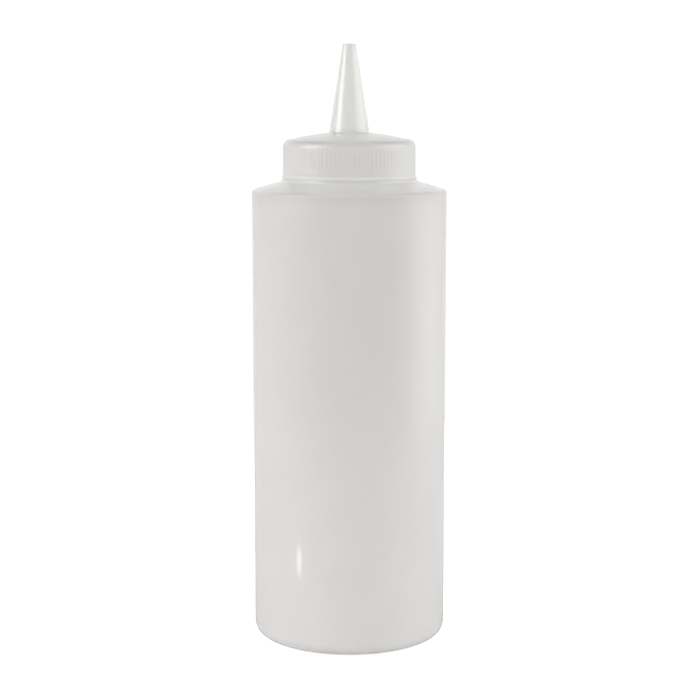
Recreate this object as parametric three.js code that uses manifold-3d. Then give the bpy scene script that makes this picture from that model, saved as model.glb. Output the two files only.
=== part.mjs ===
// A condiment squeeze bottle: a thin-walled cylinder with a threaded neck, and a ribbed screw cap that carries an
// open conical nozzle. Millimetres, +Z up, the origin in the middle of the base on the surface it stands on.
import * as THREE from 'three';
import { mergeVertices } from 'three/addons/utils/BufferGeometryUtils.js';
import Module from 'manifold-3d';

const wasm = await Module();
wasm.setup();

// Bottle
const BODY_RADIUS = 29;
const BODY_WALL = 1.1;
const HEEL_RADIUS = 4;
const RING_INNER_RADIUS = 20;
const PUSH_UP = 1.8;
const PUSH_UP_FLAT_SHARE = 0.7;
const SHOULDER_EDGE_RADIUS = 1.5;
const SHOULDER_EDGE_CENTRE = 135.0;
const SHOULDER_SLOPE = THREE.MathUtils.degToRad(16);
const SHOULDER_INNER_EDGE = 0.3;
const COLLAR_RADIUS = 21.6;
const COLLAR_DROP = 0.25;
const NECK_RADIUS = 17.35;
const NECK_WALL = 1.45;
const NECK_FOOT = 138.75;
const NECK_TOP = 149.3;
const NECK_BEAD_RADIUS = 19.6;
const NECK_BEAD_CLEARANCE = 0.3;
const MOUTH_FILLET = 1;
const LIP_RADIUS = 0.45;

// Screw thread, which the neck and the cap share
const THREAD_PITCH = 4.2;
const THREAD_FIRST_TURN = 141.3;
const THREAD_ROOT_SINK = 0.3;
const THREAD_FADE = 1 / 12;
const NECK_THREAD = { turns: [0, 1.5], crest: 18.3, rootWidth: 2.0, crestWidth: 0.9 };
const CAP_THREAD = { turns: [0.5, 1.9], crest: 17.8, rootWidth: 1.3, crestWidth: 0.6 };

// Cap
const CAP_RADIUS = 19.75;
const CAP_BORE = 18.65;
const CAP_BOTTOM = 139.6;
const BEAD_RADIUS = 20.05;
const BEAD_HEIGHT = 1;
const BEAD_ROUNDING = 0.2;
const BEAD_TAPER = 0.3;
const CAP_EDGE_RADIUS = 1.5;
const DOME_RADIUS = 66;
const DOME_APEX = 153.4;
const TOP_WALL = 1.2;
const SEAT_HEIGHT = 149.7;
const SEAT_STEP = 0.6;
const RIB_COUNT = 96;
const RIB_DEPTH = 0.35;
const RIB_BOTTOM = 142.1;
const RIB_TOP = 150.4;
const RIB_CREST_SHARE = 0.35;
const RIB_ROOT_SHARE = 0.25;

// Nozzle
const NOZZLE_FOOT_RADIUS = 5.95;
const NOZZLE_TIP_RADIUS = 1.95;
const NOZZLE_TIP = 179.3;
const NOZZLE_FILLET = 0.5;
const BORE_FOOT_RADIUS = 4.9;
const ORIFICE_RADIUS = 1.4;
const TIP_ROUNDING = 0.2;

// Fineness of the facets
const SIDES = 64;
const THREAD_STEPS = 48;
const ARC_PIECES = 2;
const CURVE_PIECES = 3;
const MERGE_DISTANCE = 1e-4;

const QUARTER_TURN = Math.PI / 2;

// The mesh as a solid that can be joined and cut: shared corners merged, triangles of no area at the poles dropped
function toSolid(geometry) {
  geometry.deleteAttribute('normal');
  geometry.deleteAttribute('uv');
  const merged = mergeVertices(geometry, MERGE_DISTANCE);
  const corners = merged.index.array;
  const kept = [];
  for (let i = 0; i < corners.length; i += 3) {
    const [a, b, c] = corners.slice(i, i + 3);
    if (a !== b && b !== c && c !== a) {
      kept.push(a, b, c);
    }
  }
  const mesh = new wasm.Mesh({
    numProp: 3,
    vertProperties: merged.attributes.position.array,
    triVerts: new Uint32Array(kept),
  });
  return new wasm.Manifold(mesh);
}

function toGeometry(solid) {
  const mesh = solid.getMesh();
  const geometry = new THREE.BufferGeometry();
  geometry.setAttribute('position', new THREE.BufferAttribute(mesh.vertProperties, mesh.numProp));
  geometry.setIndex(new THREE.BufferAttribute(mesh.triVerts, 1));
  geometry.computeVertexNormals();
  return geometry;
}

// A solid of revolution about Z, from a path of radius and height that starts and ends on the axis
function turned(path) {
  const geometry = new THREE.LatheGeometry(path.getPoints(ARC_PIECES), SIDES);
  geometry.rotateX(QUARTER_TURN);
  return toSolid(geometry);
}

// A helical ridge of trapezoid section that stands on a round wall, outwards or inwards; its ends sink into the wall
function threadRidge(wallRadius, { turns, crest, rootWidth, crestWidth }, drop) {
  const [first, last] = turns;
  const outwards = Math.sign(crest - wallRadius);
  const root = wallRadius - outwards * THREAD_ROOT_SINK;
  const steps = Math.round((last - first) * THREAD_STEPS);
  const fadeSteps = THREAD_STEPS * THREAD_FADE;
  const positions = [];
  for (let i = 0; i <= steps; i += 1) {
    const turn = first + (last - first) * i / steps;
    const angle = turn * 2 * Math.PI;
    const middle = THREAD_FIRST_TURN - drop + turn * THREAD_PITCH;
    const fade = Math.min(1, i / fadeSteps, (steps - i) / fadeSteps);
    const top = THREE.MathUtils.lerp(root + outwards * THREAD_ROOT_SINK / 2, crest, fade);
    const section = [
      [root, -rootWidth / 2],
      [top, -crestWidth / 2],
      [top, crestWidth / 2],
      [root, rootWidth / 2],
    ];
    for (const [radius, rise] of section) {
      positions.push(radius * Math.cos(angle), radius * Math.sin(angle), middle + rise);
    }
  }
  const corners = [];
  const quad = (a, b, c, d) => {
    if (outwards > 0) {
      corners.push(a, b, c, a, c, d);
    } else {
      corners.push(a, c, b, a, d, c);
    }
  };
  for (let i = 0; i < steps; i += 1) {
    for (let side = 0; side < 4; side += 1) {
      const next = (side + 1) % 4;
      quad(4 * i + side, 4 * (i + 1) + side, 4 * (i + 1) + next, 4 * i + next);
    }
  }
  quad(0, 1, 2, 3);
  quad(4 * steps + 3, 4 * steps + 2, 4 * steps + 1, 4 * steps);
  const geometry = new THREE.BufferGeometry();
  geometry.setAttribute('position', new THREE.Float32BufferAttribute(positions, 3));
  geometry.setIndex(corners);
  return toSolid(geometry);
}

// A quarter curve from one point to the next through the corner between them, as a few straight pieces
function easeTo(path, cornerX, cornerY, endX, endY) {
  const curve = new THREE.QuadraticBezierCurve(
    path.currentPoint,
    new THREE.Vector2(cornerX, cornerY),
    new THREE.Vector2(endX, endY),
  );
  for (const point of curve.getPoints(CURVE_PIECES).slice(1)) {
    path.lineTo(point.x, point.y);
  }
}

// Outside of the bottle's foot, side and shoulder, set in from the outer face by the given wall
function bodyOutline(path, inset) {
  const radius = BODY_RADIUS - inset;
  const heel = HEEL_RADIUS - inset;
  const heelCentre = new THREE.Vector2(BODY_RADIUS - HEEL_RADIUS, HEEL_RADIUS);
  path.moveTo(0, PUSH_UP + inset);
  easeTo(path, RING_INNER_RADIUS * PUSH_UP_FLAT_SHARE, PUSH_UP + inset, RING_INNER_RADIUS, inset);
  path.lineTo(heelCentre.x, inset);
  path.absarc(heelCentre.x, heelCentre.y, heel, -QUARTER_TURN, 0, false);
  const edge = Math.max(SHOULDER_EDGE_RADIUS - inset, SHOULDER_INNER_EDGE);
  path.lineTo(radius, SHOULDER_EDGE_CENTRE);
  path.absarc(radius - edge, SHOULDER_EDGE_CENTRE, edge, 0, QUARTER_TURN - SHOULDER_SLOPE, false);
}

// The low bead round the foot of the neck fills most of the gap under the cap
function makeBottle() {
  const outside = new THREE.Path();
  bodyOutline(outside, 0);
  outside.lineTo(COLLAR_RADIUS, NECK_FOOT - COLLAR_DROP);
  outside.lineTo(NECK_BEAD_RADIUS, NECK_FOOT);
  outside.lineTo(NECK_BEAD_RADIUS, CAP_BOTTOM - NECK_BEAD_CLEARANCE);
  outside.lineTo(NECK_RADIUS, CAP_BOTTOM - NECK_BEAD_CLEARANCE);
  outside.lineTo(NECK_RADIUS, NECK_TOP - LIP_RADIUS);
  outside.absarc(NECK_RADIUS - LIP_RADIUS, NECK_TOP - LIP_RADIUS, LIP_RADIUS, 0, QUARTER_TURN, false);
  outside.lineTo(0, NECK_TOP);

  const mouth = NECK_RADIUS - NECK_WALL;
  const mouthFoot = NECK_FOOT - BODY_WALL - COLLAR_DROP;
  const inside = new THREE.Path();
  bodyOutline(inside, BODY_WALL);
  inside.lineTo(mouth + MOUTH_FILLET, mouthFoot);
  inside.lineTo(mouth, mouthFoot + MOUTH_FILLET);
  inside.lineTo(mouth, NECK_TOP + 1);
  inside.lineTo(0, NECK_TOP + 1);

  return turned(outside).add(threadRidge(NECK_RADIUS, NECK_THREAD, 0)).subtract(turned(inside));
}

// The ring of grooves between the cap's ribs, as one solid to cut away
function ribGrooves() {
  const pitch = 2 * Math.PI / RIB_COUNT;
  const root = CAP_RADIUS - RIB_DEPTH;
  const comb = new THREE.Path();
  for (let i = 0; i < RIB_COUNT; i += 1) {
    const corners = [
      [CAP_RADIUS, -RIB_CREST_SHARE / 2],
      [CAP_RADIUS, RIB_CREST_SHARE / 2],
      [root, 0.5 - RIB_ROOT_SHARE / 2],
      [root, 0.5 + RIB_ROOT_SHARE / 2],
    ];
    corners.forEach(([radius, share], at) => {
      const angle = (i + share) * pitch;
      const step = i === 0 && at === 0 ? 'moveTo' : 'lineTo';
      comb[step](radius * Math.cos(angle), radius * Math.sin(angle));
    });
  }
  comb.closePath();
  const ring = new THREE.Shape();
  ring.absarc(0, 0, BEAD_RADIUS + 1, 0, 2 * Math.PI, false);
  ring.holes.push(comb);
  const geometry = new THREE.ExtrudeGeometry(ring, {
    depth: RIB_TOP - RIB_BOTTOM,
    bevelEnabled: false,
    curveSegments: 24,
  });
  geometry.translate(0, 0, RIB_BOTTOM);
  return toSolid(geometry);
}

function domeHeight(radius, lower = 0) {
  return DOME_APEX - lower - radius * radius / (2 * DOME_RADIUS);
}

// The cap's top between two radii, as straight pieces along the dome
function domeLine(path, from, to, lower) {
  for (let i = 0; i <= CURVE_PIECES; i += 1) {
    const radius = THREE.MathUtils.lerp(from, to, i / CURVE_PIECES);
    path.lineTo(radius, domeHeight(radius, lower));
  }
}

function makeCap() {
  const outside = new THREE.Path();
  outside.moveTo(0, CAP_BOTTOM);
  outside.lineTo(BEAD_RADIUS - BEAD_ROUNDING, CAP_BOTTOM);
  outside.lineTo(BEAD_RADIUS, CAP_BOTTOM + BEAD_ROUNDING);
  outside.lineTo(BEAD_RADIUS, CAP_BOTTOM + BEAD_HEIGHT - BEAD_TAPER);
  outside.lineTo(CAP_RADIUS, CAP_BOTTOM + BEAD_HEIGHT);
  const edgeFrom = CAP_RADIUS - CAP_EDGE_RADIUS;
  const edgeHeight = domeHeight(edgeFrom) - CAP_EDGE_RADIUS;
  outside.lineTo(CAP_RADIUS, edgeHeight);
  const edgeTurn = QUARTER_TURN - Math.atan(edgeFrom / DOME_RADIUS);
  outside.absarc(edgeFrom, edgeHeight, CAP_EDGE_RADIUS, 0, edgeTurn, false);
  domeLine(outside, edgeFrom, NOZZLE_FOOT_RADIUS + NOZZLE_FILLET, 0);
  const foot = domeHeight(NOZZLE_FOOT_RADIUS);
  const taper = (NOZZLE_FOOT_RADIUS - NOZZLE_TIP_RADIUS) / (NOZZLE_TIP - foot);
  outside.lineTo(NOZZLE_FOOT_RADIUS - taper * NOZZLE_FILLET, foot + NOZZLE_FILLET);
  outside.lineTo(NOZZLE_TIP_RADIUS, NOZZLE_TIP - TIP_ROUNDING);
  outside.lineTo(NOZZLE_TIP_RADIUS - TIP_ROUNDING, NOZZLE_TIP);
  outside.lineTo(0, NOZZLE_TIP);

  const seatInner = NECK_RADIUS - NECK_WALL;
  const inside = new THREE.Path();
  inside.moveTo(0, CAP_BOTTOM - 1);
  inside.lineTo(CAP_BORE, CAP_BOTTOM - 1);
  inside.lineTo(CAP_BORE, SEAT_HEIGHT);
  inside.lineTo(seatInner, SEAT_HEIGHT);
  inside.lineTo(seatInner, SEAT_HEIGHT + SEAT_STEP);
  domeLine(inside, seatInner - SEAT_STEP, BORE_FOOT_RADIUS + NOZZLE_FILLET, TOP_WALL);
  inside.lineTo(BORE_FOOT_RADIUS, domeHeight(BORE_FOOT_RADIUS, TOP_WALL) + NOZZLE_FILLET);
  inside.lineTo(ORIFICE_RADIUS, NOZZLE_TIP);
  inside.lineTo(ORIFICE_RADIUS, NOZZLE_TIP + 1);
  inside.lineTo(0, NOZZLE_TIP + 1);

  const shell = turned(outside).subtract(turned(inside)).subtract(ribGrooves());
  return shell.add(threadRidge(CAP_BORE, CAP_THREAD, THREAD_PITCH / 2));
}

// Milky, see-through polyethylene; the cap is moulded from the same resin and a little whiter
function plastic(color) {
  return new THREE.MeshStandardMaterial({
    color,
    roughness: 0.35,
    metalness: 0,
    transparent: true,
    opacity: 0.8,
  });
}

function piece(name, solid, color) {
  const mesh = new THREE.Mesh(toGeometry(solid), plastic(color));
  mesh.name = name;
  return mesh;
}

const squeezeBottle = new THREE.Group();
squeezeBottle.add(piece('bottle', makeBottle(), 0xe6e5e2));
squeezeBottle.add(piece('cap', makeCap(), 0xeae9e5));

export default squeezeBottle;
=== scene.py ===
"""A condiment squeeze bottle of milky polyethylene with a ribbed screw cap and a long open nozzle."""
import math

import bpy
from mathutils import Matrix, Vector


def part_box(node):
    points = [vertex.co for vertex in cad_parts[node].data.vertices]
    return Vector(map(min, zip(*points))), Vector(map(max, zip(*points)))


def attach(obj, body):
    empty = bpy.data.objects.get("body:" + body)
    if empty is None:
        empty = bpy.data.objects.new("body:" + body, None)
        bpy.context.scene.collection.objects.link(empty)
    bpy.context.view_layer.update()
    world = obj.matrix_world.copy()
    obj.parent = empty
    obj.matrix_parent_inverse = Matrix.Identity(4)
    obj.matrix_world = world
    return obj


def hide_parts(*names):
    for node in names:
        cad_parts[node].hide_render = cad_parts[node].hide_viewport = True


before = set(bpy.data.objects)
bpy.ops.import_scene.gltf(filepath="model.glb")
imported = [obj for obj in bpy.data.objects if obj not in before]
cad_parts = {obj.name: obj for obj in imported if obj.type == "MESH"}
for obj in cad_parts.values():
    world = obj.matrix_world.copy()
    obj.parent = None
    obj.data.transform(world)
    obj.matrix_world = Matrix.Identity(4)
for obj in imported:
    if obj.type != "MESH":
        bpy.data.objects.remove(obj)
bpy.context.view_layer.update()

# Bottle. Blow-moulded from low density polyethylene: one thin shell with a pushed-up base, a straight side, a
# low sloped shoulder and a wide threaded neck. Its colour turns whiter near the neck, partly for the thicker
# wall there and partly as painted light that lifts the shade in the gap under the cap, and a band of painted
# shade darkens it at and just below the shoulder's rounded edge. The two halves of the mould leave a faint
# upright line on each side, and a short pinched seam under the base.
mm = 0.001
bottle_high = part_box("bottle")[1]
cap_low, cap_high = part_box("cap")
body_radius = bottle_high.x
neck_top = bottle_high.z
body_wall = 1.1 * mm
heel_radius = 4 * mm
ring_radius = 20 * mm
foot_radius = 24.5 * mm
heel_width = 1.08 * mm
heel_low = 1.11 * mm
heel_high = 2.98 * mm
push_up = 1.8 * mm
shoulder_corner = 136.1 * mm
collar_radius = 21.6 * mm
collar_height = 138.3 * mm
neck_radius = 17.35 * mm
neck_foot = 138.75 * mm
neck_bead_radius = 20.04 * mm
neck_bead_top = cap_low.z - 0.02 * mm
mouth_radius = 15.9 * mm
thread_pitch = 4.2 * mm
thread_start = 141.3 * mm
row_spacing = 2.5 * mm
thread_row_spacing = 0.2 * mm


def rounded_outline(corners, spacing=row_spacing, arc_step=math.radians(9)):
    """Points along straight lines between corners (radius, height, fillet), with each fillet as an arc."""
    points = []
    for i, (x, z, fillet) in enumerate(corners):
        turn = [(x, z)]
        if fillet:
            before = corners[i - 1]
            after = corners[i + 1]
            ins = math.atan2(z - before[1], x - before[0])
            out = math.atan2(after[1] - z, after[0] - x)
            bend = (out - ins + math.pi) % (2 * math.pi) - math.pi
            reach = fillet * math.tan(abs(bend) / 2)
            start = (x - reach * math.cos(ins), z - reach * math.sin(ins))
            side = math.copysign(1, bend)
            centre = (start[0] - side * fillet * math.sin(ins), start[1] + side * fillet * math.cos(ins))
            steps = max(2, math.ceil(abs(bend) / arc_step))
            angles = [ins - side * math.pi / 2 + bend * step / steps for step in range(steps + 1)]
            turn = [(centre[0] + fillet * math.cos(a), centre[1] + fillet * math.sin(a)) for a in angles]
        if points:
            last = points[-1]
            pieces = max(1, math.ceil(math.dist(last, turn[0]) / spacing))
            for piece in range(1, pieces):
                share = piece / pieces
                points.append((last[0] + (turn[0][0] - last[0]) * share,
                               last[1] + (turn[0][1] - last[1]) * share))
        points.extend(turn)
    return points


def outline_object(name, points):
    """An outline as a mesh of edges in the XZ plane, for a tree to turn about Z."""
    mesh = bpy.data.meshes.new(name)
    edges = [(i, i + 1) for i in range(len(points) - 1)]
    mesh.from_pydata([(x, 0, z) for x, z in points], edges, [])
    thing = bpy.data.objects.new(name, mesh)
    bpy.context.scene.collection.objects.link(thing)
    return thing


def feed(tree, socket, value):
    """Gives a socket a number, a colour or another node's output."""
    if isinstance(value, bpy.types.NodeSocket):
        tree.links.new(value, socket)
    else:
        socket.default_value = value


def calc(tree, operation, *values):
    node = tree.nodes.new("ShaderNodeMath")
    node.operation = operation
    for socket, value in zip(node.inputs, values):
        feed(tree, socket, value)
    return node.outputs[0]


def product(tree, *values):
    result = values[0]
    for value in values[1:]:
        result = calc(tree, "MULTIPLY", result, value)
    return result


def ramp(tree, value, low, high, start=0.0, end=1.0):
    """A smooth step from start at low to end at high."""
    node = tree.nodes.new("ShaderNodeMapRange")
    node.interpolation_type = "SMOOTHSTEP"
    labels = ("Value", "From Min", "From Max", "To Min", "To Max")
    for label, given in zip(labels, (value, low, high, start, end)):
        feed(tree, node.inputs[label], given)
    return node.outputs["Result"]


def new_tree(name, sizes):
    """A geometry tree that takes a geometry and named sizes, and its input node."""
    tree = bpy.data.node_groups.new(name, "GeometryNodeTree")
    tree.interface.new_socket("Geometry", in_out="INPUT", socket_type="NodeSocketGeometry")
    for label, kind in sizes.items():
        tree.interface.new_socket(label, in_out="INPUT", socket_type=kind)
    tree.interface.new_socket("Geometry", in_out="OUTPUT", socket_type="NodeSocketGeometry")
    return tree, tree.nodes.new("NodeGroupInput")


def turned_surface(tree, given):
    """Nodes that turn the outline about Z into a grid of sides by rows, with each point's angle, radius,
    height and row. Crowding draws the sides together at the two ends of the X axis."""
    rows = tree.nodes.new("GeometryNodeAttributeDomainSize")
    tree.links.new(given.outputs["Geometry"], rows.inputs["Geometry"])
    count = rows.outputs["Point Count"]
    grid = tree.nodes.new("GeometryNodeMeshGrid")
    tree.links.new(calc(tree, "ADD", given.outputs["Sides"], 1), grid.inputs["Vertices X"])
    tree.links.new(count, grid.inputs["Vertices Y"])
    index = tree.nodes.new("GeometryNodeInputIndex").outputs["Index"]
    side = calc(tree, "FLOOR", calc(tree, "DIVIDE", calc(tree, "ADD", index, 0.5), count))
    row = calc(tree, "SUBTRACT", index, product(tree, side, count))
    turn = product(tree, calc(tree, "DIVIDE", side, given.outputs["Sides"]), 2 * math.pi)
    crowd = product(tree, calc(tree, "SINE", product(tree, turn, 2)), given.outputs["Crowding"])
    angle = calc(tree, "SUBTRACT", turn, crowd)
    sample = tree.nodes.new("GeometryNodeSampleIndex")
    sample.data_type = "FLOAT_VECTOR"
    tree.links.new(given.outputs["Geometry"], sample.inputs["Geometry"])
    tree.links.new(tree.nodes.new("GeometryNodeInputPosition").outputs["Position"], sample.inputs["Value"])
    tree.links.new(row, sample.inputs["Index"])
    split = tree.nodes.new("ShaderNodeSeparateXYZ")
    tree.links.new(sample.outputs["Value"], split.inputs["Vector"])
    return grid.outputs["Mesh"], angle, split.outputs["X"], split.outputs["Z"], row


def point_at(tree, angle, radius, height):
    place = tree.nodes.new("ShaderNodeCombineXYZ")
    tree.links.new(product(tree, radius, calc(tree, "COSINE", angle)), place.inputs["X"])
    tree.links.new(product(tree, radius, calc(tree, "SINE", angle)), place.inputs["Y"])
    tree.links.new(height, place.inputs["Z"])
    return place.outputs["Vector"]


def finish_surface(tree, given, surface, place):
    """Nodes that put each point in its place, close the seam and the poles, and set the material."""
    move = tree.nodes.new("GeometryNodeSetPosition")
    tree.links.new(surface, move.inputs["Geometry"])
    tree.links.new(place, move.inputs["Position"])
    merge = tree.nodes.new("GeometryNodeMergeByDistance")
    merge.inputs["Distance"].default_value = 0.002 * mm
    tree.links.new(move.outputs["Geometry"], merge.inputs["Geometry"])
    smooth = tree.nodes.new("GeometryNodeSetShadeSmooth")
    tree.links.new(merge.outputs["Geometry"], smooth.inputs["Geometry"])
    realize = tree.nodes.new("GeometryNodeRealizeInstances")
    tree.links.new(smooth.outputs["Geometry"], realize.inputs["Geometry"])
    paint = tree.nodes.new("GeometryNodeSetMaterial")
    tree.links.new(realize.outputs["Geometry"], paint.inputs["Geometry"])
    tree.links.new(given.outputs["Material"], paint.inputs["Material"])
    result = tree.nodes.new("NodeGroupOutput")
    tree.links.new(paint.outputs["Geometry"], result.inputs["Geometry"])


def thread_ridge(tree, given, angle, height):
    """Nodes for a helical ridge: 1 on its crest and 0 between its turns, with its ends faded."""
    fade = 0.08
    turn = calc(tree, "DIVIDE", angle, 2 * math.pi)
    rise = calc(tree, "SUBTRACT", height, given.outputs["Thread start"])
    along = calc(tree, "SUBTRACT", calc(tree, "DIVIDE", rise, given.outputs["Pitch"]), turn)
    nearest = calc(tree, "ROUND", along)
    offset = calc(tree, "ABSOLUTE", calc(tree, "SUBTRACT", along, nearest))
    away = product(tree, offset, given.outputs["Pitch"])
    ridge = ramp(tree, away, given.outputs["Half crest"], given.outputs["Half root"], 1, 0)
    turns = calc(tree, "ADD", turn, nearest)
    first = given.outputs["First turn"]
    last = given.outputs["Last turn"]
    begins = ramp(tree, turns, first, calc(tree, "ADD", first, fade))
    ends = ramp(tree, turns, calc(tree, "SUBTRACT", last, fade), last, 1, 0)
    return product(tree, ridge, begins, ends, given.outputs["Thread height"])


def near(tree, value, target):
    """1 where the value lies within a hair of the target, and 0 elsewhere."""
    hair = 0.05 * mm
    away = calc(tree, "ABSOLUTE", calc(tree, "SUBTRACT", value, target))
    return calc(tree, "LESS_THAN", away, hair)


def run_tree(thing, tree, values):
    """The object with the tree applied to a plain mesh, the modifier gone."""
    modifier = thing.modifiers.new(tree.name, "NODES")
    modifier.node_group = tree
    for item in tree.interface.items_tree:
        if item.in_out == "INPUT" and item.name in values:
            modifier[item.identifier] = values[item.name]
    made = bpy.data.meshes.new_from_object(thing.evaluated_get(bpy.context.evaluated_depsgraph_get()))
    thing.modifiers.remove(modifier)
    thing.data = made
    return thing


THREAD_SIZES = {
    "Thread start": "NodeSocketFloat",
    "Pitch": "NodeSocketFloat",
    "First turn": "NodeSocketFloat",
    "Last turn": "NodeSocketFloat",
    "Half crest": "NodeSocketFloat",
    "Half root": "NodeSocketFloat",
    "Thread height": "NodeSocketFloat",
}


def wall_wave(tree, given, place, height):
    """Nodes for the slight unevenness of a blown wall, which fades towards the heel and the shoulder."""
    stretch = tree.nodes.new("ShaderNodeVectorMath")
    stretch.operation = "MULTIPLY"
    tree.links.new(place, stretch.inputs[0])
    stretch.inputs[1].default_value = (1, 1, 0.4)
    noise = tree.nodes.new("ShaderNodeTexNoise")
    tree.links.new(stretch.outputs["Vector"], noise.inputs["Vector"])
    wave_length = 20 * mm
    noise.inputs["Scale"].default_value = 1 / wave_length
    noise.inputs["Detail"].default_value = 1
    swing = calc(tree, "SUBTRACT", noise.outputs["Fac"], 0.5)
    above_heel = ramp(tree, height, heel_radius, 4 * heel_radius)
    below_shoulder = ramp(tree, height, shoulder_corner - 12 * mm, shoulder_corner - 2 * mm, 1, 0)
    return product(tree, swing, given.outputs["Wave height"], above_heel, below_shoulder)


def bottle_tree():
    tree, given = new_tree("blown_bottle", {
        "Sides": "NodeSocketInt",
        "Crowding": "NodeSocketFloat",
        "Outer rows": "NodeSocketInt",
        "Neck radius": "NodeSocketFloat",
        "Neck foot": "NodeSocketFloat",
        "Wave height": "NodeSocketFloat",
        "Mould line width": "NodeSocketFloat",
        "Mould line height": "NodeSocketFloat",
        "Seam reach": "NodeSocketFloat",
        "Seam width": "NodeSocketFloat",
        "Seam height": "NodeSocketFloat",
        "Material": "NodeSocketMaterial",
        **THREAD_SIZES,
    })
    surface, angle, radius, height, row = turned_surface(tree, given)
    outer = calc(tree, "LESS_THAN", row, given.outputs["Outer rows"])
    plain = point_at(tree, angle, radius, height)
    wave = wall_wave(tree, given, plain, height)
    on_neck = near(tree, radius, given.outputs["Neck radius"])
    thread = product(tree, thread_ridge(tree, given, angle, height), on_neck)
    across = calc(tree, "ABSOLUTE", product(tree, radius, calc(tree, "SINE", angle)))
    line = ramp(tree, across, 0, given.outputs["Mould line width"], given.outputs["Mould line height"], 0)
    below_neck = calc(tree, "LESS_THAN", height, given.outputs["Neck foot"])
    off_axis = calc(tree, "GREATER_THAN", radius, given.outputs["Neck radius"])
    mould_line = product(tree, line, outer, below_neck, off_axis)
    wider = calc(tree, "ADD", calc(tree, "ADD", radius, wave), calc(tree, "ADD", thread, mould_line))
    seam = ramp(tree, across, 0, given.outputs["Seam width"], given.outputs["Seam height"], 0)
    seam_end = product(tree, given.outputs["Seam reach"], 0.85)
    within = ramp(tree, radius, seam_end, given.outputs["Seam reach"], 1, 0)
    lower = calc(tree, "SUBTRACT", height, product(tree, seam, within, outer))
    finish_surface(tree, given, surface, point_at(tree, angle, wider, lower))
    return tree


def milky_group():
    """Clouding, painted shade about an edge and fine grain for milky plastic, in the piece's own coordinates.
    """
    tree = bpy.data.node_groups.new("milky_surface", "ShaderNodeTree")
    for label, kind in (
        ("Colour", "NodeSocketColor"),
        ("Cloud depth", "NodeSocketFloat"),
        ("Cloud scale", "NodeSocketFloat"),
        ("Edge low", "NodeSocketFloat"),
        ("Edge middle", "NodeSocketFloat"),
        ("Edge high", "NodeSocketFloat"),
        ("Painted edge shade", "NodeSocketFloat"),
        ("Grain scale", "NodeSocketFloat"),
        ("Grain height", "NodeSocketFloat"),
    ):
        tree.interface.new_socket(label, in_out="INPUT", socket_type=kind)
    tree.interface.new_socket("Colour", in_out="OUTPUT", socket_type="NodeSocketColor")
    tree.interface.new_socket("Edge", in_out="OUTPUT", socket_type="NodeSocketFloat")
    tree.interface.new_socket("Normal", in_out="OUTPUT", socket_type="NodeSocketVector")
    given = tree.nodes.new("NodeGroupInput")
    result = tree.nodes.new("NodeGroupOutput")
    coord = tree.nodes.new("ShaderNodeTexCoord")

    def noise(scale, detail):
        node = tree.nodes.new("ShaderNodeTexNoise")
        tree.links.new(coord.outputs["Object"], node.inputs["Vector"])
        feed(tree, node.inputs["Scale"], scale)
        node.inputs["Detail"].default_value = detail
        return node.outputs["Fac"]

    level = tree.nodes.new("ShaderNodeSeparateXYZ")
    tree.links.new(coord.outputs["Object"], level.inputs["Vector"])
    middle = given.outputs["Edge middle"]
    rises = ramp(tree, level.outputs["Z"], given.outputs["Edge low"], middle)
    edge = product(tree, rises, ramp(tree, level.outputs["Z"], middle, given.outputs["Edge high"], 1, 0))
    tree.links.new(edge, result.inputs["Edge"])
    cloud = ramp(tree, noise(given.outputs["Cloud scale"], 3), 0.35, 0.65)
    cloud_light = calc(tree, "SUBTRACT", 1, product(tree, cloud, given.outputs["Cloud depth"]))
    # Painted shade: the colour is darkened in the band about the edge height.
    painted_shade_scale = calc(tree, "SUBTRACT", 1, product(tree, edge, given.outputs["Painted edge shade"]))
    shade = tree.nodes.new("ShaderNodeVectorMath")
    shade.operation = "SCALE"
    tree.links.new(given.outputs["Colour"], shade.inputs["Vector"])
    tree.links.new(product(tree, cloud_light, painted_shade_scale), shade.inputs["Scale"])
    tree.links.new(shade.outputs["Vector"], result.inputs["Colour"])
    bump = tree.nodes.new("ShaderNodeBump")
    tree.links.new(given.outputs["Grain height"], bump.inputs["Distance"])
    tree.links.new(noise(given.outputs["Grain scale"], 1), bump.inputs["Height"])
    tree.links.new(bump.outputs["Normal"], result.inputs["Normal"])
    return tree


milky_surface = milky_group()


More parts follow.
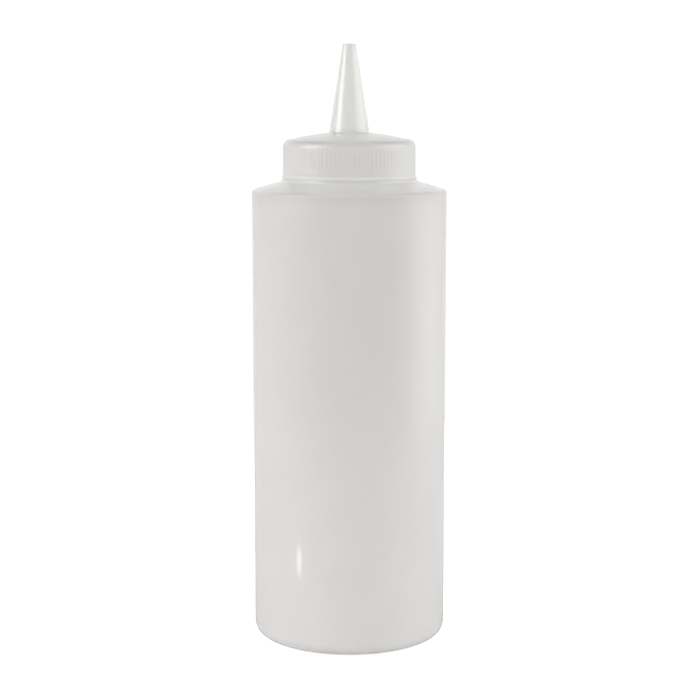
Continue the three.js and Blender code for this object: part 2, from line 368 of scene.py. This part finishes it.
def milky_material(name, colours, edge_heights, painted_edge_shade, roughness, transmission):
    """A milky plastic in two colours: its own, and a whiter one used as painted light, in places also for
    thicker plastic. Returns the material, its shader and the sockets that give the height and the edge and
    that take the mix towards the whiter colour."""
    material = bpy.data.materials.new(name)
    material.use_nodes = True
    tree = material.node_tree
    shader = tree.nodes["Principled BSDF"]
    shader.inputs["Roughness"].default_value = roughness
    shader.inputs["Transmission Weight"].default_value = transmission
    shader.inputs["Subsurface Weight"].default_value = 0.3
    shader.inputs["Subsurface Radius"].default_value = (1, 1, 1)
    shader.inputs["Subsurface Scale"].default_value = 2 * mm
    shader.inputs["IOR"].default_value = 1.5
    surface = tree.nodes.new("ShaderNodeGroup")
    surface.node_tree = milky_surface
    surface.inputs["Cloud depth"].default_value = 0.013
    surface.inputs["Cloud scale"].default_value = 1 / (14 * mm)
    surface.inputs["Grain scale"].default_value = 1 / (1.2 * mm)
    surface.inputs["Grain height"].default_value = 0.008 * mm
    surface.inputs["Painted edge shade"].default_value = painted_edge_shade
    for label, height in zip(("Edge low", "Edge middle", "Edge high"), edge_heights):
        surface.inputs[label].default_value = height
    # Mix towards the whiter colour: painted light, and in places thicker plastic as well.
    wall = tree.nodes.new("ShaderNodeMix")
    wall.data_type = "RGBA"
    wall.inputs["A"].default_value = (*colours[0], 1)
    wall.inputs["B"].default_value = (*colours[1], 1)
    tree.links.new(wall.outputs["Result"], surface.inputs["Colour"])
    place = tree.nodes.new("ShaderNodeSeparateXYZ")
    tree.links.new(tree.nodes.new("ShaderNodeTexCoord").outputs["Object"], place.inputs["Vector"])
    tree.links.new(surface.outputs["Colour"], shader.inputs["Base Color"])
    tree.links.new(surface.outputs["Normal"], shader.inputs["Normal"])
    sockets = {
        "height": place.outputs["Z"],
        "edge": surface.outputs["Edge"],
        "thick_and_painted_light": wall.inputs["Factor"],
    }
    return material, shader, sockets


# Painted shade at and just below the shoulder's rounded edge, where the coat is also duller.
shoulder_edge = (shoulder_corner - 3.8 * mm, shoulder_corner - 0.6 * mm, shoulder_corner + 0.3 * mm)
body_and_painted_light_colours = ((0.785, 0.77, 0.755), (0.85, 0.835, 0.815))
bottle_plastic, bottle_shader, bottle_sockets = milky_material(
    "milky_bottle", body_and_painted_light_colours, shoulder_edge, painted_edge_shade=0.09, roughness=0.4, transmission=0.2)
bottle_paint = bottle_plastic.node_tree
bottle_level = bottle_sockets["height"]
# Whiter near the neck: partly the thicker wall, partly painted light that lifts the shade under the cap.
neck_thick_and_painted_light = ramp(bottle_paint, bottle_level, collar_height - 1.5 * mm, collar_height + 0.4 * mm)
bottle_paint.links.new(neck_thick_and_painted_light, bottle_sockets["thick_and_painted_light"])
bottle_gloss = calc(bottle_paint, "MULTIPLY_ADD", bottle_sockets["edge"], -0.65, 0.8)
bottle_paint.links.new(bottle_gloss, bottle_shader.inputs["Coat Weight"])
bottle_shader.inputs["Coat Roughness"].default_value = 0.12
outer_outline = rounded_outline([
    (0, push_up, 0),
    (0.75 * ring_radius, push_up, 10 * mm),
    (ring_radius, 0, 3 * mm),
    (foot_radius, 0, 2 * mm),
    (body_radius - heel_width, heel_low, 2.7 * mm),
    (body_radius, heel_high, 3.9 * mm),
    (body_radius, shoulder_corner, 1.2 * mm),
    (collar_radius, collar_height, 4 * mm),
    (neck_bead_radius, neck_foot, 1 * mm),
    (neck_bead_radius, neck_bead_top, 0.04 * mm),
    (neck_radius, neck_bead_top, 0.3 * mm),
    (neck_radius, neck_bead_top + 0.5 * mm, 0),
]) + rounded_outline([
    (neck_radius, neck_bead_top + 0.7 * mm, 0),
    (neck_radius, neck_top, 0.5 * mm),
    (mouth_radius, neck_top, 0.3 * mm),
    (mouth_radius, neck_top - 1 * mm, 0),
], spacing=thread_row_spacing)
inner_outline = rounded_outline([
    (mouth_radius, neck_top - 1.7 * mm, 0),
    (mouth_radius, neck_foot - body_wall, 1.5 * mm),
    (body_radius - body_wall, shoulder_corner - body_wall, 1 * mm),
    (body_radius - body_wall, body_wall, heel_radius - body_wall),
    (ring_radius, body_wall, 3 * mm),
    (0.75 * ring_radius, push_up + body_wall, 10 * mm),
    (0, push_up + body_wall, 0),
])
bottle = run_tree(outline_object("bottle_shell", outer_outline + inner_outline), bottle_tree(), {
    "Sides": 288,
    "Crowding": 0.4,
    "Outer rows": len(outer_outline),
    "Neck radius": neck_radius,
    "Neck foot": neck_foot,
    "Wave height": 0.12 * mm,
    "Mould line width": 0.3 * mm,
    "Mould line height": 0.1 * mm,
    "Seam reach": 14 * mm,
    "Seam width": 0.6 * mm,
    "Seam height": 0.5 * mm,
    "Material": bottle_plastic,
    "Thread start": thread_start,
    "Pitch": thread_pitch,
    "First turn": 0.0,
    "Last turn": 1.5,
    "Half crest": 0.45 * mm,
    "Half root": 1.0 * mm,
    "Thread height": 0.95 * mm,
})
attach(bottle, "root")
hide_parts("bottle")

# Screw cap with its nozzle. Injection-moulded in one piece from the same resin: fine upright ribs for grip
# above a plain band and a small bead, a domed top, and a long open cone cut off square at its tip. The top
# and the cone are polished. The cone is painted whiter up to just short of its rim, as painted light for the
# light that shines through its thin wall, which leaves painted shade along the rim; the bead is painted
# whiter, partly for its thicker plastic and partly as painted light in the gap above the bottle's shoulder.
# A band of painted shade runs about the edge between the ribs and the top.
bead_radius = cap_high.x
cap_bottom = cap_low.z
tip_height = cap_high.z - 0.15 * mm
cap_radius = 19.75 * mm
cap_bore = 18.65 * mm
bead_height = 1 * mm
cap_edge = 2.2 * mm
dome_radius = 66 * mm
dome_apex = 153.3 * mm
top_wall = 1.2 * mm
seat_height = 149.7 * mm
seat_step = 0.6 * mm
rib_count = 96
rib_depth = 0.09 * mm
rib_bottom = 142.1 * mm
rib_top = 150.2 * mm
nozzle_foot_radius = 5.95 * mm
nozzle_tip_radius = 1.95 * mm
bore_foot_radius = 4.9 * mm
orifice_radius = 1.4 * mm


def cap_tree():
    tree, given = new_tree("ribbed_cap", {
        "Sides": "NodeSocketInt",
        "Crowding": "NodeSocketFloat",
        "Ribs": "NodeSocketInt",
        "Rib depth": "NodeSocketFloat",
        "Rib bottom": "NodeSocketFloat",
        "Rib top": "NodeSocketFloat",
        "Rib end": "NodeSocketFloat",
        "Cap radius": "NodeSocketFloat",
        "Bore radius": "NodeSocketFloat",
        "Material": "NodeSocketMaterial",
        **THREAD_SIZES,
    })
    surface, angle, radius, height, row = turned_surface(tree, given)
    wave = calc(tree, "COSINE", product(tree, angle, given.outputs["Ribs"]))
    groove = ramp(tree, wave, -1, 1)
    bottom = given.outputs["Rib bottom"]
    top = given.outputs["Rib top"]
    low = ramp(tree, height, bottom, calc(tree, "ADD", bottom, given.outputs["Rib end"]))
    high = ramp(tree, height, calc(tree, "SUBTRACT", top, given.outputs["Rib end"]), top, 1, 0)
    cut = product(tree, groove, given.outputs["Rib depth"])
    limit = calc(tree, "SUBTRACT", given.outputs["Cap radius"], cut)
    over = calc(tree, "MAXIMUM", calc(tree, "SUBTRACT", radius, limit), 0)
    ribbed = calc(tree, "SUBTRACT", radius, product(tree, over, low, high))
    on_bore = near(tree, radius, given.outputs["Bore radius"])
    thread = product(tree, thread_ridge(tree, given, angle, height), on_bore)
    place = point_at(tree, angle, calc(tree, "SUBTRACT", ribbed, thread), height)
    finish_surface(tree, given, surface, place)
    return tree


def dome_height(radius, lower=0):
    return dome_apex - lower - radius * radius / (2 * dome_radius)


def dome_outline(from_radius, to_radius, lower, pieces=8):
    radii = [from_radius + (to_radius - from_radius) * i / pieces for i in range(pieces + 1)]
    return [(radius, dome_height(radius, lower)) for radius in radii]


# Painted shade in a band about the edge between the ribs and the top.
rib_edge = (rib_top - 1.6 * mm, rib_top, rib_top + 1.4 * mm)
cap_and_painted_light_colours = ((0.77, 0.76, 0.735), (0.835, 0.835, 0.8))
cap_plastic, cap_shader, cap_sockets = milky_material(
    "milky_cap", cap_and_painted_light_colours, rib_edge, painted_edge_shade=0.1, roughness=0.3, transmission=0.15)
cap_shader.inputs["Coat Roughness"].default_value = 0.06
cap_paint = cap_plastic.node_tree
cap_level = cap_sockets["height"]
polished = ramp(cap_paint, cap_level, rib_top + 1 * mm, dome_apex, 0.3, 0.52)
cap_paint.links.new(polished, cap_shader.inputs["Coat Weight"])
# Painted light: the cone is whiter for the light through its thin wall, with painted shade left at its rim.
above_dome = ramp(cap_paint, cap_level, dome_apex, dome_apex + 2 * mm)
below_rim_painted_shade = ramp(cap_paint, cap_level, tip_height - 1.4 * mm, tip_height - 0.5 * mm, 1, 0)
nozzle_painted_light = product(cap_paint, above_dome, below_rim_painted_shade)
# Whiter bead: partly its thicker plastic, partly painted light in the gap above the shoulder.
bead_thick_and_painted_light = ramp(cap_paint, cap_level, cap_bottom + 0.6 * bead_height, cap_bottom + 1.6 * bead_height, 1, 0)
cap_paint.links.new(calc(cap_paint, "ADD", nozzle_painted_light, bead_thick_and_painted_light), cap_sockets["thick_and_painted_light"])

edge_radius = cap_radius - cap_edge
edge_reach = 0.5 * mm
bore_turn = 0.6 * mm
nozzle_turn = 0.5 * mm
nozzle_outline = rounded_outline([
    (nozzle_foot_radius + nozzle_turn, dome_height(nozzle_foot_radius + nozzle_turn), 0),
    (nozzle_foot_radius, dome_height(nozzle_foot_radius) + 0.1 * mm, 0.4 * mm),
    (nozzle_tip_radius, tip_height, 0.2 * mm),
    (orifice_radius, tip_height, 0.1 * mm),
    (orifice_radius, tip_height - 1 * mm, 0),
])
bore_outline = rounded_outline([
    (orifice_radius, tip_height - 1 * mm, 0),
    (bore_foot_radius, dome_height(bore_foot_radius, top_wall) + bore_turn, 0),
])
skirt_outline = rounded_outline([
    (mouth_radius, seat_height + seat_step, 0),
    (mouth_radius, seat_height, 0),
    (cap_bore, seat_height, 0.2 * mm),
    (cap_bore, cap_bottom, 0.15 * mm),
    (bead_radius, cap_bottom, 0.05 * mm),
    (bead_radius, cap_bottom + bead_height, 0.3 * mm),
    (cap_radius, cap_bottom + bead_height + 0.1 * mm, 0.1 * mm),
    (cap_radius, rib_bottom, 0),
    (cap_radius, dome_height(edge_radius) + 0.3 * mm, cap_edge),
    (edge_radius - edge_reach, dome_height(edge_radius - edge_reach), 0),
], spacing=0.5 * mm, arc_step=math.radians(18))
under_dome = dome_outline(bore_foot_radius + bore_turn, mouth_radius - 0.3 * mm, top_wall)
over_dome = dome_outline(edge_radius - 2 * edge_reach, nozzle_foot_radius + 1.6 * nozzle_turn, 0)
cap_outline = bore_outline + under_dome + skirt_outline + over_dome + nozzle_outline
cap = run_tree(outline_object("screw_cap", cap_outline), cap_tree(), {
    "Sides": 6 * rib_count,
    "Crowding": 0.0,
    "Ribs": rib_count,
    "Rib depth": rib_depth,
    "Rib bottom": rib_bottom,
    "Rib top": rib_top,
    "Rib end": 0.4 * mm,
    "Cap radius": cap_radius,
    "Bore radius": cap_bore,
    "Material": cap_plastic,
    "Thread start": thread_start - thread_pitch / 2,
    "Pitch": thread_pitch,
    "First turn": 0.5,
    "Last turn": 1.9,
    "Half crest": 0.3 * mm,
    "Half root": 0.65 * mm,
    "Thread height": 0.85 * mm,
})
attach(cap, "root")
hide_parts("cap")

# Stage. A small plain white floor a hair below the resting ring, which the camera sees as bright as the white
# behind it.
floor_reach = 350 * mm
floor_mesh = bpy.data.meshes.new("floor")
floor_signs = ((-1, -1), (1, -1), (1, 1), (-1, 1))
floor_level = -0.02 * mm
floor_corners = [(x * floor_reach, y * floor_reach, floor_level) for x, y in floor_signs]
floor_mesh.from_pydata(floor_corners, [], [(0, 1, 2, 3)])
floor = bpy.data.objects.new("floor", floor_mesh)
bpy.context.scene.collection.objects.link(floor)
floor_paint = bpy.data.materials.new("floor_paint")
floor_paint.use_nodes = True
floor_tree = floor_paint.node_tree
floor_shader = floor_tree.nodes["Principled BSDF"]
floor_shader.inputs["Base Color"].default_value = (0.9, 0.9, 0.9, 1)
floor_shader.inputs["Roughness"].default_value = 0.9
floor_shader.inputs["Specular IOR Level"].default_value = 0
floor_shader.inputs["Emission Color"].default_value = (1, 1, 1, 1)
floor_path = floor_tree.nodes.new("ShaderNodeLightPath")
floor_glow = product(floor_tree, floor_path.outputs["Is Camera Ray"], 0.7)
floor_tree.links.new(floor_glow, floor_shader.inputs["Emission Strength"])
floor_mesh.materials.append(floor_paint)

# Light. A white studio: a tall narrow window on the left, a wide softer one on the right, a low front light
# just off the camera's line, a pale wall behind, and a dim camera side below the horizon.
world = bpy.data.worlds.new("studio")
bpy.context.scene.world = world
world.use_nodes = True
sky = world.node_tree
back = sky.nodes["Background"]
back.inputs["Color"].default_value = (1, 1, 1, 1)
direction = sky.nodes.new("ShaderNodeSeparateXYZ")
sky.links.new(sky.nodes.new("ShaderNodeTexCoord").outputs["Generated"], direction.inputs["Vector"])
towards_camera = product(sky, direction.outputs["Y"], -1)
azimuth = calc(sky, "DEGREES", calc(sky, "ARCTAN2", direction.outputs["X"], towards_camera))
elevation = calc(sky, "DEGREES", calc(sky, "ARCSINE", direction.outputs["Z"]))
side_fade = 12.5
height_fade = 4


def soft_light(middle, half_width, low, high, strength):
    """Light from a patch of sky with soft edges, in degrees: azimuth 0 is the camera's side, 90 the right."""
    turn = calc(sky, "WRAP", calc(sky, "SUBTRACT", azimuth, middle), 180, -180)
    sideways = ramp(sky, calc(sky, "ABSOLUTE", turn), half_width - side_fade, half_width + side_fade, 1, 0)
    above = ramp(sky, elevation, low - height_fade, low + height_fade)
    below = ramp(sky, elevation, high - height_fade, high + height_fade, 1, 0)
    return product(sky, sideways, above, below, strength)


horizon = -2
below_horizon = soft_light(0, 360, -100, horizon, 0.8)
front_shade = soft_light(0, 87, -100, horizon, -0.47)
above_horizon = soft_light(0, 360, horizon, 42, 0.68)
left_window = soft_light(-70, 15, 2, 42, 5.1)
right_window = soft_light(79, 33, 2, 42, 2.1)
right_glow = soft_light(99, 24, -14, 2, 0.5)
back_light = soft_light(180, 45, 1, 29, 0.32)
front_light = soft_light(14, 16, horizon, 14, 2.15)
top_light = soft_light(0, 360, 62, 100, 0.7)
lights = (
    below_horizon,
    front_shade,
    above_horizon,
    left_window,
    right_window,
    right_glow,
    back_light,
    front_light,
    top_light,
)
total = lights[0]
for light in lights[1:]:
    total = calc(sky, "ADD", total, light)
backdrop_brightness = 1.05
path = sky.nodes.new("ShaderNodeLightPath")
seen = sky.nodes.new("ShaderNodeMix")
seen.data_type = "FLOAT"
sky.links.new(path.outputs["Is Camera Ray"], seen.inputs["Factor"])
sky.links.new(total, seen.inputs["A"])
seen.inputs["B"].default_value = backdrop_brightness
sky.links.new(seen.outputs["Result"], back.inputs["Strength"])

# Glint. A small bright lamp low on the left, which shows only as a short upright glint on the bottle's side.
lamp_data = bpy.data.lights.new("glint_lamp", "AREA")
lamp_data.shape = "ELLIPSE"
lamp_data.size = 8.6 * mm
lamp_data.size_y = 9.2 * mm
lamp_radiance = 6.5
lamp_area = math.pi / 4 * lamp_data.size * lamp_data.size_y
lamp_data.energy = lamp_radiance * math.pi * lamp_area
lamp = bpy.data.objects.new("glint_lamp", lamp_data)
lamp.location = (-66.3 * mm, -51.5 * mm, 13.1 * mm)
glint = Vector((-14.75 * mm, -25 * mm, 28.6 * mm))
lamp.rotation_euler = (glint - lamp.location).to_track_quat("-Z", "Y").to_euler()
lamp.visible_camera = False
lamp.visible_diffuse = False
lamp.visible_transmission = False
bpy.context.scene.collection.objects.link(lamp)

# Camera. A long lens a little above the top of the cap, looking slightly down, as in the photograph.
camera_data = bpy.data.cameras.new("camera")
camera_data.sensor_width = 36
camera_data.lens = 94.42
camera_data.clip_start = 10 * mm
camera_tilt = 0.1463
camera = bpy.data.objects.new("camera", camera_data)
camera.location = (0.0002, -0.550, 0.1687)
camera.rotation_euler = (math.pi / 2 - camera_tilt, 0, 0)
bpy.context.scene.collection.objects.link(camera)
bpy.context.scene.camera = camera
bpy.context.scene.view_settings.view_transform = "Standard"
